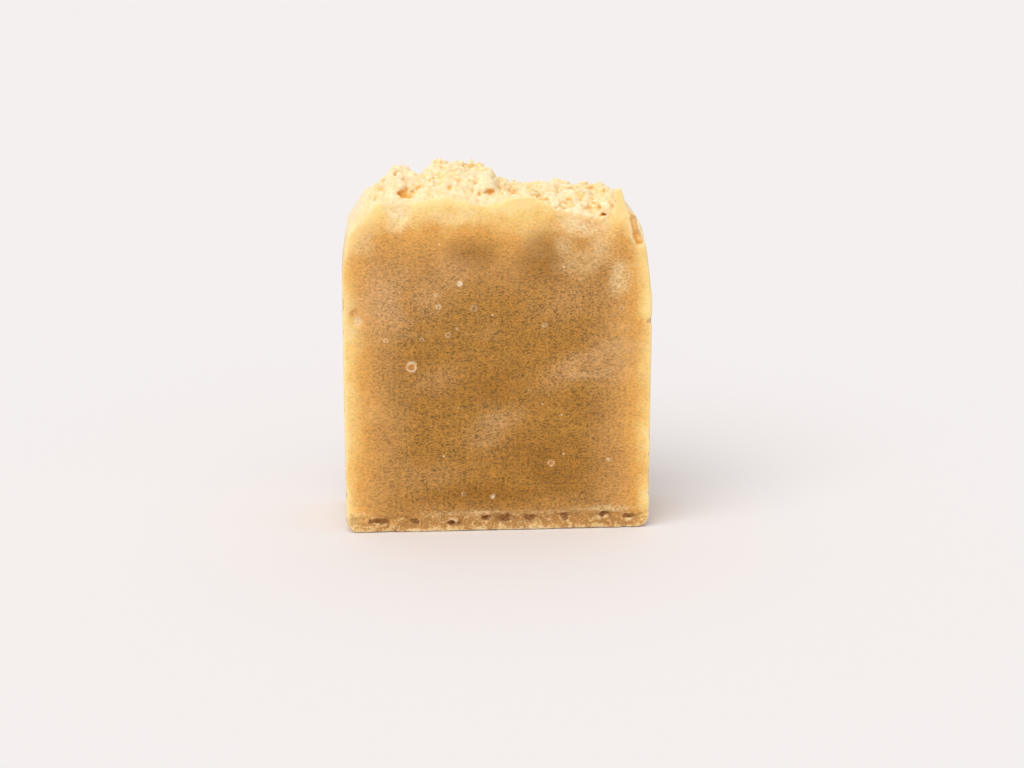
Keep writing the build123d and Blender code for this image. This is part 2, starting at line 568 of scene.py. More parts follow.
@dataclass
class SoapShape:
    """The bar's shape in millimetres: a slab cut from a loaf, with a heap of broken soap on it.

    Attributes:
        left_shoulder: Points of the outline's left shoulder, each its inset from the side and its height.
        right_shoulder: The same for the right shoulder.
        front_rim: Height of the heap's foot on the front face.
        back_rim: Height of its foot on the back face.
        ridge: Height of its ridge.
        front_run: How far from the front face the ridge begins.
        back_run: How far from the back face.
        fin: Corners of the thin fin, X and Z.
        fin_depth: The fin's front and back, along Y.
        groove: Points of the groove behind the fin.
        bead: Middle of the bead beside the fin.
        heap_slope: Distance to the heap's swell, as a share of the way straight down to it.
        top_start: Height above which the broken top is worked out.
    """

    half_width: float
    half_thickness: float
    height: float
    base_corner: float = 2.8
    rim_edge: float = 0.5
    left_shoulder: tuple[tuple[float, float], ...] = ((0.0, 55.5), (1.3, 63.2), (5.4, 69.4))
    right_shoulder: tuple[tuple[float, float], ...] = ((0.0, 49.0), (1.1, 58.5), (2.2, 63.6), (3.5, 66.2), (7.0, 69.9))
    front_rim: Line = Line(
        (
            (-34.0, 69.2), (-23.5, 69.6), (-20.0, 68.6), (-16.3, 69.0), (-10.5, 69.4), (-6.2, 68.6),
            (-2.2, 67.7), (0.8, 69.0), (3.2, 70.5), (6.9, 70.6), (9.5, 69.0), (12.0, 67.4), (16.0, 66.2),
            (20.1, 65.1), (23.5, 66.6), (34.0, 66.6),
        )
    )
    back_rim: Line = Line(
        (
            (-34.0, 67.5), (-24.0, 69.0), (-14.0, 68.2), (-5.0, 69.8), (4.0, 67.9), (12.0, 69.0), (20.0, 67.6),
            (34.0, 67.6),
        )
    )
    ridge: Line = Line(
        (
            (-34.0, 65.0), (-26.4, 69.0), (-22.8, 70.2), (-21.7, 73.0), (-20.0, 74.1), (-18.2, 72.7),
            (-15.4, 72.4), (-13.6, 74.3), (-11.0, 75.1), (-8.0, 75.0), (-5.6, 74.4), (-2.6, 74.8),
            (-0.6, 74.0), (0.6, 71.2), (3.4, 69.9), (7.5, 70.3), (13.0, 70.2), (18.5, 69.5), (23.2, 69.2),
            (25.5, 68.8), (34.0, 68.0),
        ),
        0.4,
    )
    # each cut's end of the bar and face, its height at their corner, and its slope and lean in degrees
    bevel_cuts: tuple[tuple[float, ...], ...] = (
        (-1, -1, 59.6, 50.0, 52.0),
        (1, -1, 52.7, 69.5, 56.0),
        (-1, 1, 57.0, 52.0, 50.0),
        (1, 1, 57.0, 66.0, 54.0),
    )
    front_run: float = 8.0
    back_run: float = 9.5
    fin: tuple[tuple[float, float], ...] = ((23.2, 63.0), (23.6, 71.6), (24.9, 72.0), (26.5, 67.0), (27.9, 60.6))
    fin_depth: tuple[float, float] = (-12.6, -11.1)
    groove: tuple[tuple[float, float, float], ...] = ((25.5, -10.3, 70.6), (27.3, -11.4, 65.4), (28.9, -11.9, 60.4))
    groove_radius: float = 0.8
    bead: tuple[float, float, float] = (22.2, -11.0, 67.4)
    pits: tuple[Pit, ...] = (
        Pit((-18.9, -9.6, 70.6), (1.9, 1.0, 0.7), 0.6),
        Pit((-1.0, -9.9, 71.0), (0.8, 0.9, 0.4), 0.6),
        Pit((4.0, -8.8, 70.4), (1.2, 1.0, 0.7), 0.4),
        Pit((19.4, -11.0, 67.6), (1.4, 1.3, 0.6), 0.5),
        Pit((21.7, -11.6, 66.3), (1.1, 0.8, 0.5), 0.6),
        Pit((23.6, -11.0, 68.6), (0.5, 1.3, 1.1), 0.2),
        Pit((-5.0, 3.0, 74.4), (1.8, 1.4, 0.9), 0.5),
        Pit((8.0, 2.0, 71.6), (2.2, 1.5, 1.0), 0.5),
        Pit((-13.0, 6.0, 72.6), (2.0, 1.4, 1.0), 0.5),
        Pit((17.0, 6.5, 70.4), (1.6, 1.6, 1.1), 0.5),
        Pit((-24.6, -12.9, 2.5), (2.1, 1.35, 0.63), 0.3),
        Pit((-17.6, -12.8, 2.3), (0.8, 0.8, 0.4), 0.4),
        Pit((-9.6, -12.8, 1.9), (1.3, 0.7, 0.3), 0.35),
        Pit((-2.6, -12.8, 2.9), (0.9, 0.9, 0.46), 0.3),
        Pit((1.6, -12.9, 2.7), (1.8, 1.35, 0.75), 0.35),
        Pit((6.6, -12.8, 2.8), (1.2, 1.05, 0.69), 0.3),
        Pit((13.6, -12.9, 3.0), (1.5, 1.2, 0.75), 0.35),
        Pit((22.6, -12.8, 3.1), (1.1, 0.8, 0.35), 0.4),
        Pit((27.4, -12.9, 2.6), (1.35, 1.35, 0.48), 0.08),
        Pit((-29.3, -12.7, 47.0), (0.6, 0.4, 0.8), 0.2),
        Pit((31.9, -12.5, 44.4), (1.2, 1.1, 0.6), 0.2),
        Pit((-31.9, -12.6, 48.6), (0.5, 0.6, 1.1), 0.2),
        Pit((-17.8, -12.85, 35.5), (0.9, 0.35, 0.9), 0.1),
        Pit((11.0, -12.8, 14.5), (0.6, 0.25, 0.6), 0.0),
        Pit((-20.0, 12.9, 3.1), (1.8, 1.2, 0.69), 0.35),
        Pit((-6.0, 12.9, 2.4), (1.2, 1.05, 0.57), 0.3),
        Pit((9.0, 12.9, 2.8), (2.0, 1.2, 0.57), 0.35),
        Pit((22.0, 12.9, 2.6), (1.1, 1.05, 0.57), 0.3),
        Pit((-14.0, 12.85, 52.0), (0.9, 0.35, 0.9), 0.1),
        Pit((6.0, 12.85, 30.0), (0.7, 0.3, 0.7), 0.1),
    )
    scars: tuple[Scar, ...] = (
        Scar(((-15.9, 70.5), (-18.2, 66.4), (-19.9, 62.4), (-22.0, 66.0), (-24.4, 70.5)), 0.55, 0.35),
        Scar(((26.0, 68.5), (24.0, 62.6), (18.0, 62.4), (12.0, 64.6), (10.5, 69.5)), 0.4, 1.2),
        Scar(((-27.6, 45.7), (-28.0, 44.2), (-29.4, 44.1), (-29.6, 46.3)), 0.4, 0.3),
    )
    front_power: float = 2.2
    back_power: float = 2.0
    heap_slope: float = 0.85
    top_start: float = 60.0
    edge_radius: float = 0.55
    least_edge: float = 0.12
    bevel_edge: float = 0.35
    fin_edge: float = 0.25
    fin_fillet: float = 0.35
    groove_edge: float = 0.25
    bead_radius: float = 1.1
    chip_depth: float = 0.3
    dent_depth: float = 0.45
    warps: tuple[Noise, ...] = (Noise(2.6, 11, 0.7), Noise(2.6, 12, 0.7), Noise(2.6, 13, 0.7))
    chunks: Grains = Grains(3.3, 21, softness=0.1, scatter=0.7)
    chunk_patches: Noise = Noise(6.0, 31)
    lumps: Pebbles = Pebbles(2.7, 22, 0.55)
    lump_waves: Noise = Noise(4.2, 24, 0.45)
    crumbs: Pebbles = Pebbles(1.35, 23, 0.4)
    fine_crumbs: Pebbles = Pebbles(0.75, 25, 0.16)
    crumb_grain: Noise = Noise(0.55, 26, 0.12)
    face_waves: Noise = Noise(9.0, 41, 0.07)
    wire_marks: Noise = Noise(0.7, 42, 0.02)
    foot_ripple: Noise = Noise(1.9, 43, 0.5)
    foot_drift: Noise = Noise(5.0, 44, 0.45)
    foot_crust: Noise = Noise(0.7, 45, 0.16)
    foot_gaps: Noise = Noise(2.3, 46)
    scar_grit: Pebbles = Pebbles(0.95, 47, 0.16)
    scar_grain: Noise = Noise(0.6, 48, 0.1)
    fin_grain: Noise = Noise(1.0, 52, 0.06)
    groove_grain: Noise = Noise(1.1, 53, 0.3)
    wall_waves: Noise = Noise(6.0, 54, 0.06)
    wall_chips: Noise = Noise(1.5, 55)
    wall_dents: Pebbles = Pebbles(3.1, 59)
    dent_patches: Noise = Noise(2.4, 60)
    edge_waves: Noise = Noise(2.8, 56, 0.45)
    edge_grain: Noise = Noise(1.0, 57, 0.2)
    bevel_grain: Noise = Noise(1.6, 58, 0.12)

    def outline(self, points: Points) -> Array:
        """Work out the distance to the bar's outline seen from the front, without its top.

        Args:
            points: Where the field is wanted.

        Returns:
            Signed distances, negative inside.
        """
        x_side = np.abs(points.x) - self.half_width
        distance = round_max(x_side, -points.z, self.base_corner)
        for side, corners in ((-1, self.left_shoulder), (1, self.right_shoulder)):
            places = [(side * (self.half_width - inset), height) for inset, height in corners]
            if side > 0:
                places = places[::-1]
            for start, end in zip(places, places[1:]):
                distance = np.maximum(distance, edge_plane(points, start, end))
        return distance

    def bevels(self, points: Points) -> Array:
        """Work out the distance to the slanting cuts that take off the shoulders' corners.

        Args:
            points: Where the field is wanted.

        Returns:
            Signed distances, negative inside.
        """
        distance = np.full(np.broadcast(points.x, points.y, points.z).shape, -FAR, np.float32)
        for side, face, height, slope, lean in self.bevel_cuts:
            out_x = side * sin(radians(slope)) * cos(radians(lean))
            out_y = face * sin(radians(lean))
            out_z = cos(radians(slope)) * cos(radians(lean))
            distance = np.maximum(
                distance,
                (points.x - side * self.half_width) * out_x
                + (points.y - face * self.half_thickness) * out_y
                + (points.z - height) * out_z,
            )
        return distance

    def heap(self, points: Points) -> Array:
        """Work out the distance to the heap's smooth swell.

        The height rises from the rim of each cut face to the ridge, steeply at first and then levelly:
        the rise's share is one less a power of the share of the run that is left.

        Args:
            points: Where the field is wanted.

        Returns:
            Signed distances, negative below the swell.
        """
        ridge = self.ridge.at(points.x)
        front_left = 1.0 - np.clip((points.y + self.half_thickness) / self.front_run, 0.0, 1.0)
        back_left = 1.0 - np.clip((self.half_thickness - points.y) / self.back_run, 0.0, 1.0)
        height = (
            ridge
            - (ridge - self.front_rim.at(points.x)) * front_left**self.front_power
            - (ridge - self.back_rim.at(points.x)) * back_left**self.back_power
        )
        return ((points.z - height) * self.heap_slope).astype(np.float32)

    def crumble(self, points: Points) -> Array:
        """Work out the distance to the broken top.

        Angular chunks are blended with the smooth swell, and round lumps and crumbs of three sizes and
        a fine grain stand out of it. All of it dies away towards the rims of the two cut faces.

        Args:
            points: Where the field is wanted.

        Returns:
            Signed distances, negative in the soap.
        """
        warped = points.shifted(*(warp.at(points) for warp in self.warps))
        swell = self.heap(points)
        chunks = self.chunks.at(warped, self.heap)
        chunky = 0.25 + 0.4 * smooth_step(-0.4, 0.5, self.chunk_patches.at(points))
        front, back = self.half_thickness + points.y, self.half_thickness - points.y
        inward = smooth_step(0.0, 2.6, front) * smooth_step(0.0, 2.6, back)
        fine = smooth_step(-0.1, 0.7, front) * smooth_step(-0.1, 0.7, back)
        relief = inward * (self.lumps.at(warped) + self.lump_waves.at(points))
        relief += (0.35 + 0.65 * inward) * self.crumbs.at(warped)
        relief += fine * (self.fine_crumbs.at(warped) + self.crumb_grain.at(points))
        return swell + (chunks - swell) * inward * chunky - relief + 0.25 * inward

    def recess(self, points: Points) -> Array:
        """Work out how far the cut faces lie inside their planes.

        It is the sum of slow waves, the cutting wire's marks, the scars and the foot's ragged lip.

        Args:
            points: Where the field is wanted.

        Returns:
            The depth at each point.
        """
        drift = self.face_waves.at(points) + self.face_waves.depth
        drift += self.wire_marks.at(Points(points.x * 0.1, points.y * 0.3, points.z))
        line = points.z + self.foot_ripple.at(points) + self.foot_drift.at(points)
        trough = smooth_step(0.7, 1.3, line) * smooth_step(4.0, 3.3, line)
        crust = self.foot_crust.at(points) * smooth_step(5.0, 3.6, line)
        drift += 0.4 * trough * smooth_step(-0.5, 0.3, self.foot_gaps.at(points)) + crust
        front = points.y < 0
        scar = np.zeros(len(points.x), np.float32)
        for mark in self.scars:
            scar[front] = np.maximum(scar[front], mark.at(points.part(front)))
        grit = self.scar_grit.at(points) + self.scar_grain.at(points)
        return drift + scar - grit * smooth_step(0.0, 0.3, scar)

    def standing(self, points: Points) -> Array:
        """Work out the distance to the thin fin and the bead at the right end of the front rim.

        Args:
            points: Where the field is wanted.

        Returns:
            Signed distances, negative inside.
        """
        fin = np.maximum(points.y - self.fin_depth[1], self.fin_depth[0] - points.y)
        for start, end in zip(self.fin, self.fin[1:] + self.fin[:1]):
            fin = round_max(fin, -edge_plane(points, end, start), self.fin_edge)
        x, y, z = self.bead
        bead = np.sqrt((points.x - x) ** 2 + (points.y - y) ** 2 + ((points.z - z) * 0.78) ** 2) - self.bead_radius
        return np.minimum(fin, bead) + self.fin_grain.at(points)

    def crack(self, points: Points) -> Array:
        """Work out the distance to the groove behind the fin: a tube along joined lines, flattened across.

        Args:
            points: Where the field is wanted.

        Returns:
            Signed distances, negative inside the groove.
        """
        nearest = np.full(len(points.x), FAR, np.float32)
        for start, end in zip(self.groove, self.groove[1:]):
            base, run = np.array(start), np.array(end) - np.array(start)
            offsets = [axis - place for axis, place in zip((points.x, points.y, points.z), base)]
            share = np.clip(sum(part * step for part, step in zip(offsets, run)) / float(run @ run), 0.0, 1.0)
            gaps = [part - share * step for part, step in zip(offsets, run)]
            nearest = np.minimum(nearest, np.sqrt(gaps[0] ** 2 + (gaps[1] * 0.6) ** 2 + gaps[2] ** 2))
        return nearest - self.groove_radius + self.groove_grain.at(points)

    def distance(self, points: Points) -> Array:
        """Work out the whole bar's field in a band round its skin.

        Args:
            points: Where the field is wanted.

        Returns:
            Signed distances, negative in the soap.
        """
        faces = np.abs(points.y) - self.half_thickness + self.recess(points)
        outline = self.outline(points) + self.wall_waves.depth + self.wall_waves.at(points)
        outline += self.chip_depth * smooth_step(0.5, 0.75, self.wall_chips.at(points))
        dents = smooth_step(0.8, 0.97, self.wall_dents.at(points))
        dents = dents * smooth_step(-0.1, 0.3, self.dent_patches.at(points))
        outline += self.dent_depth * dents
        edge = self.edge_radius + self.edge_waves.at(points) + self.edge_grain.at(points)
        slab = round_max(outline, faces, np.maximum(edge, self.least_edge))
        slab = round_max(slab, self.bevels(points) + self.bevel_grain.at(points), self.bevel_edge)
        top = np.flatnonzero(points.z > self.top_start)
        upper = points.part(top)
        crown = round_max(slab[top], self.crumble(upper), self.rim_edge)
        crown = soft_min(crown, self.standing(upper), self.fin_fillet)
        slab[top] = round_max(crown, -self.crack(upper), self.groove_edge)
        for pit in self.pits:
            pit.carve(points, slab)
        return slab

    def inside_pits(self, points: Points) -> Array:
        """Work out where the pits' walls are.

        Args:
            points: Where the field is wanted.

        Returns:
            The pits' share: 1 on their walls, and 0 a little way out of them.
        """
        inside = np.zeros(len(points.x), np.float32)
        for pit in self.pits:
            chosen, hollow = pit.near(points)
            inside[chosen] = np.maximum(inside[chosen], smooth_step(0.2, 0.0, hollow))
        return inside

    def rough_distance(self, axes: tuple[Array, Array, Array]) -> Array:
        """Work out the field without its broken surface, to find the band round the skin.

        Args:
            axes: The grid's places along X, Y and Z.

        Returns:
            The rough field on the whole grid.
        """
        points = Points(*axes)
        slab = np.maximum(self.outline(points), np.abs(points.y) - self.half_thickness)
        slab = np.maximum(slab, self.bevels(points))
        fin_box = np.maximum(np.abs(points.x - 25.3) - 2.9, np.abs(points.z - 68.0) - 5.5)
        fin_box = np.maximum(fin_box, points.y + 10.0)  # round the fin, which stands above the heap
        return np.minimum(np.maximum(slab, self.heap(points)), fin_box)


def box_blur(values: Array, reach: int) -> Array:
    """Work out the mean of the values in a box round each, by running sums.

    Args:
        values: Numbers on a grid.
        reach: Grid steps from the box's middle to each of its sides.

    Returns:
        The means, on the same grid.
    """
    for axis in range(3):
        padding = [(reach + 1, reach) if a == axis else (0, 0) for a in range(3)]
        sums = np.cumsum(np.pad(values, padding, mode="edge"), axis=axis, dtype=np.float32)
        ahead = [slice(None)] * 3
        behind = [slice(None)] * 3
        ahead[axis] = slice(2 * reach + 1, None)
        behind[axis] = slice(None, -(2 * reach + 1))
        values = (sums[tuple(ahead)] - sums[tuple(behind)]) / (2 * reach + 1)
    return values


def rounded(values: Array) -> Array:
    """Smooth out spikes and sharp slots.

    Along each axis, a value becomes three fifths of itself and a fifth of each neighbour.

    Args:
        values: Numbers on a grid.

    Returns:
        The smoothed numbers, on the same grid.
    """
    for axis in range(3):
        ends = np.concatenate([values.take([0], axis), values, values.take([-1], axis)], axis)
        before = np.moveaxis(np.moveaxis(ends, axis, 0)[:-2], 0, axis)
        after = np.moveaxis(np.moveaxis(ends, axis, 0)[2:], 0, axis)
        values = values * 0.6 + (before + after) * 0.2
    return values


# Material tools


def display(red: float, green: float, blue: float) -> Tint:
    """Turn a colour as a screen shows it into the linear colour that a shader takes.

    Args:
        red: Red from 0 to 255.
        green: Green from 0 to 255.
        blue: Blue from 0 to 255.

    Returns:
        The linear colour, with an alpha of 1.
    """
    shares = np.array([red, green, blue]) / 255.0
    linear = np.where(shares <= 0.04045, shares / 12.92, ((shares + 0.055) / 1.055) ** 2.4)
    return (*(float(share) for share in linear), 1.0)


@dataclass(frozen=True)
class Value:
    """A number that changes over a surface, with Python's operators for the Math nodes on it."""

    shader: "Shader"
    socket: bpy.types.NodeSocket

    def __add__(self, other: "Value | float") -> "Value":
        """Add."""
        return self.shader.math(Sum.ADD, self, other)

    def __radd__(self, other: float) -> "Value":
        """Add, from the right."""
        return self.shader.math(Sum.ADD, other, self)

    def __sub__(self, other: "Value | float") -> "Value":
        """Subtract."""
        return self.shader.math(Sum.SUBTRACT, self, other)

    def __rsub__(self, other: float) -> "Value":
        """Subtract from a number."""
        return self.shader.math(Sum.SUBTRACT, other, self)

    def __mul__(self, other: "Value | float") -> "Value":
        """Multiply."""
        return self.shader.math(Sum.MULTIPLY, self, other)

    def __rmul__(self, other: float) -> "Value":
        """Multiply, from the right."""
        return self.shader.math(Sum.MULTIPLY, other, self)

    def __truediv__(self, other: "Value | float") -> "Value":
        """Divide."""
        return self.shader.math(Sum.DIVIDE, self, other)

    def __abs__(self) -> "Value":
        """Drop the sign."""
        return self.shader.math(Sum.ABSOLUTE, self)

    def least(self, other: "Value | float") -> "Value":
        """Return the lesser of the two."""
        return self.shader.math(Sum.LEAST, self, other)

    def most(self, other: "Value | float") -> "Value":
        """Return the greater of the two."""
        return self.shader.math(Sum.MOST, self, other)

    def root(self) -> "Value":
        """Return the square root."""
        return self.shader.math(Sum.ROOT, self)

    def rise(self, low: float, high: float) -> "Value":
        """Rise smoothly from 0 to 1 as this value goes from one place to another.

        Args:
            low: Where the result is 0.
            high: Where it is 1, which may be the lesser of the two.

        Returns:
            The result.
        """
        settings = {"data_type": "FLOAT", "interpolation_type": "SMOOTHSTEP"}
        inputs = {"Value": self, "From Min": low, "From Max": high}
        if low > high:
            inputs = {"Value": self, "From Min": high, "From Max": low, "To Min": 1.0, "To Max": 0.0}
        return Value(self.shader, self.shader.node("ShaderNodeMapRange", settings, inputs).outputs["Result"])


@dataclass(frozen=True)
class Colour:
    """A colour that changes over a surface."""

    shader: "Shader"
    socket: bpy.types.NodeSocket

    def mixed(self, other: "Colour | Tint", share: "Value | float") -> "Colour":
        """Return this colour with a share of the other mixed in."""
        return self.shader.mix(self, other, share)

    def shaded(self, tone: Value) -> "Colour":
        """Return this colour, darker where the tone is below 1 and lighter where it is above."""
        return self.shader.mix(self, self.shader.grey(tone), 1.0, Mixing.SHADE)


@dataclass
class Shader:
    """One material's node tree, and the few ways in which nodes are added to it."""

    name: str
    material: bpy.types.Material = field(init=False)

    def __post_init__(self) -> None:
        """Start an empty material."""
        self.material = bpy.data.materials.new(self.name)
        self.material.use_nodes = True
        self.material.node_tree.nodes.clear()

    def node(self, kind: str, settings: dict | None = None, inputs: dict | None = None) -> bpy.types.Node:
        """Add a node.

        Args:
            kind: The node's type.
            settings: Its properties, and "stops" for a colour ramp, all set before its sockets.
            inputs: Its sockets' values or links, by socket name or number.

        Returns:
            The new node.
        """
        made = self.material.node_tree.nodes.new(kind)
        for name, value in (settings or {}).items():
            if name == "stops":
                self.fill_ramp(made.color_ramp, value)
            else:
                setattr(made, name, value)
        for name, value in (inputs or {}).items():
            if isinstance(value, (Value, Colour)):
                value = value.socket
            if isinstance(value, bpy.types.NodeSocket):
                self.material.node_tree.links.new(value, made.inputs[name])
            else:
                made.inputs[name].default_value = value
        return made

    @staticmethod
    def fill_ramp(ramp: bpy.types.ColorRamp, stops: list[tuple[float, tuple]]) -> None:
        """Give a colour ramp its stops.

        Args:
            ramp: The ramp, with the two stops that it starts with.
            stops: Each stop's place and colour.
        """
        for place, _ in stops[2:]:
            ramp.elements.new(place)
        for element, (place, colour) in zip(ramp.elements, sorted(stops)):
            element.position = place
            element.color = colour

    def math(self, operation: Sum, first: Value | float, second: Value | float = 0.0) -> Value:
        """Add a Math node."""
        made = self.node("ShaderNodeMath", {"operation": operation.value}, {0: first, 1: second})
        return Value(self, made.outputs[0])

    def mix(
        self, first: Colour | Tint, second: Colour | Tint, share: Value | float, way: Mixing = Mixing.PLAIN
    ) -> Colour:
        """Add a Mix node for colours."""
        settings = {"data_type": "RGBA", "blend_type": way.value}
        return Colour(self, self.node("ShaderNodeMix", settings, {0: share, 6: first, 7: second}).outputs[2])

    def ramp(self, share: Value, *stops: tuple[float, tuple]) -> Colour:
        """Add a colour ramp."""
        return Colour(self, self.node("ShaderNodeValToRGB", {"stops": list(stops)}, {0: share}).outputs["Color"])

    def grey(self, tone: Value) -> Colour:
        """Return a grey of that tone."""
        return Colour(self, self.node("ShaderNodeCombineColor", None, {0: tone, 1: tone, 2: tone}).outputs[0])

    def place(self, scale: tuple[float, ...], shift: tuple[float, ...] = (0, 0, 0)) -> bpy.types.NodeSocket:
        """Place a pattern on the object's own coordinates.

        Args:
            scale: Pattern units in a millimetre, along X, Y and Z.
            shift: What is added to them.

        Returns:
            The socket of the pattern's coordinates.
        """
        source = self.node("ShaderNodeTexCoord").outputs["Object"]
        inputs = {0: source, 1: tuple(share / MM for share in scale), 2: shift}
        return self.node("ShaderNodeVectorMath", {"operation": "MULTIPLY_ADD"}, inputs).outputs[0]

    def axes(self) -> tuple[Value, Value, Value]:
        """Return the places along X, Y and Z, in millimetres."""
        split = self.node("ShaderNodeSeparateXYZ", None, {0: self.place((1, 1, 1))})
        return tuple(Value(self, socket) for socket in split.outputs)

    def noise(
        self, size: float, seed: float, detail: float = 3.0, rough: float = 0.6, stretch: tuple[float, ...] = (1, 1, 1)
    ) -> Value:
        """Add noise from about -1 to 1.

        Args:
            size: Size of its features, in millimetres.
            seed: Where the pattern starts.
            detail: Number of finer layers.
            rough: Strength of each finer layer, as a share of the last.
            stretch: Stretch of the features along X, Y and Z.

        Returns:
            The noise.
        """
        scale = tuple(1.0 / (size * share) for share in stretch)
        inputs = {"Vector": self.place(scale, (seed, seed, seed)), "Scale": 1.0, "Detail": detail, "Roughness": rough}
        made = Value(self, self.node("ShaderNodeTexNoise", None, inputs).outputs[0])
        return (made - 0.5) * 2.0

    def mark(self, mark: Mark) -> Value:
        """Return a number held at the mesh's vertices."""
        return Value(self, self.node("ShaderNodeAttribute", {"attribute_name": mark.value}).outputs["Fac"])

    def finish(self, surface: bpy.types.Node) -> bpy.types.Material:
        """Lay the surface shader on the material, and return the material."""
        self.node("ShaderNodeOutputMaterial", None, {"Surface": surface.outputs[0]})
        return self.material


@dataclass
class SoapPatterns:
    """The patterns that run through the soap, from clouds of a centimetre to grains of half a millimetre."""

    shader: Shader
    x: Value = field(init=False)
    y: Value = field(init=False)
    z: Value = field(init=False)
    broken: Value = field(init=False)
    hollow: Value = field(init=False)
    nook: Value = field(init=False)
    bevel: Value = field(init=False)
    pit: Value = field(init=False)
    wall: Value = field(init=False)
    cloud: Value = field(init=False)
    blotch: Value = field(init=False)
    mottle: Value = field(init=False)
    grain: Value = field(init=False)
    thread: Value = field(init=False)
    streak: Value = field(init=False)
    crumb: Value = field(init=False)

    def __post_init__(self) -> None:
        """Add each pattern's nodes once, and read the skin's marks."""
        shader = self.shader
        self.x, self.y, self.z = shader.axes()
        self.broken, self.hollow, self.nook, self.bevel, self.pit, self.wall = (shader.mark(mark) for mark in Mark)
        self.cloud = shader.noise(11.0, 3.1, rough=0.5)
        self.blotch = shader.noise(4.2, 7.7)
        self.mottle = shader.noise(1.3, 1.3, rough=0.65)
        self.grain = shader.noise(0.42, 5.9, 2.0, 0.7, (1.4, 1.0, 0.9))
        ridge = abs(shader.noise(0.85, 8.8, 2.0, 0.7, (1.3, 1.0, 0.8)))
        self.thread = (0.22 - ridge).most(0.0) * 2.4
        self.streak = shader.noise(0.7, 2.2, stretch=(8.0, 2.0, 1.0))
        self.crumb = shader.noise(1.4, 9.4, rough=0.65)


@dataclass(frozen=True)
class Patch:
    """A soft-edged patch of another colour on the cut faces, in millimetres."""

    x: float
    z: float
    width: float
    height: float
    share: float
    turn: float = 0.0


@dataclass(frozen=True)
class Ring:
    """A pale ring that a bubble left on the cut face, in millimetres."""

    x: float
    z: float
    radius: float
    line: float = 0.15
    share: float = 0.6


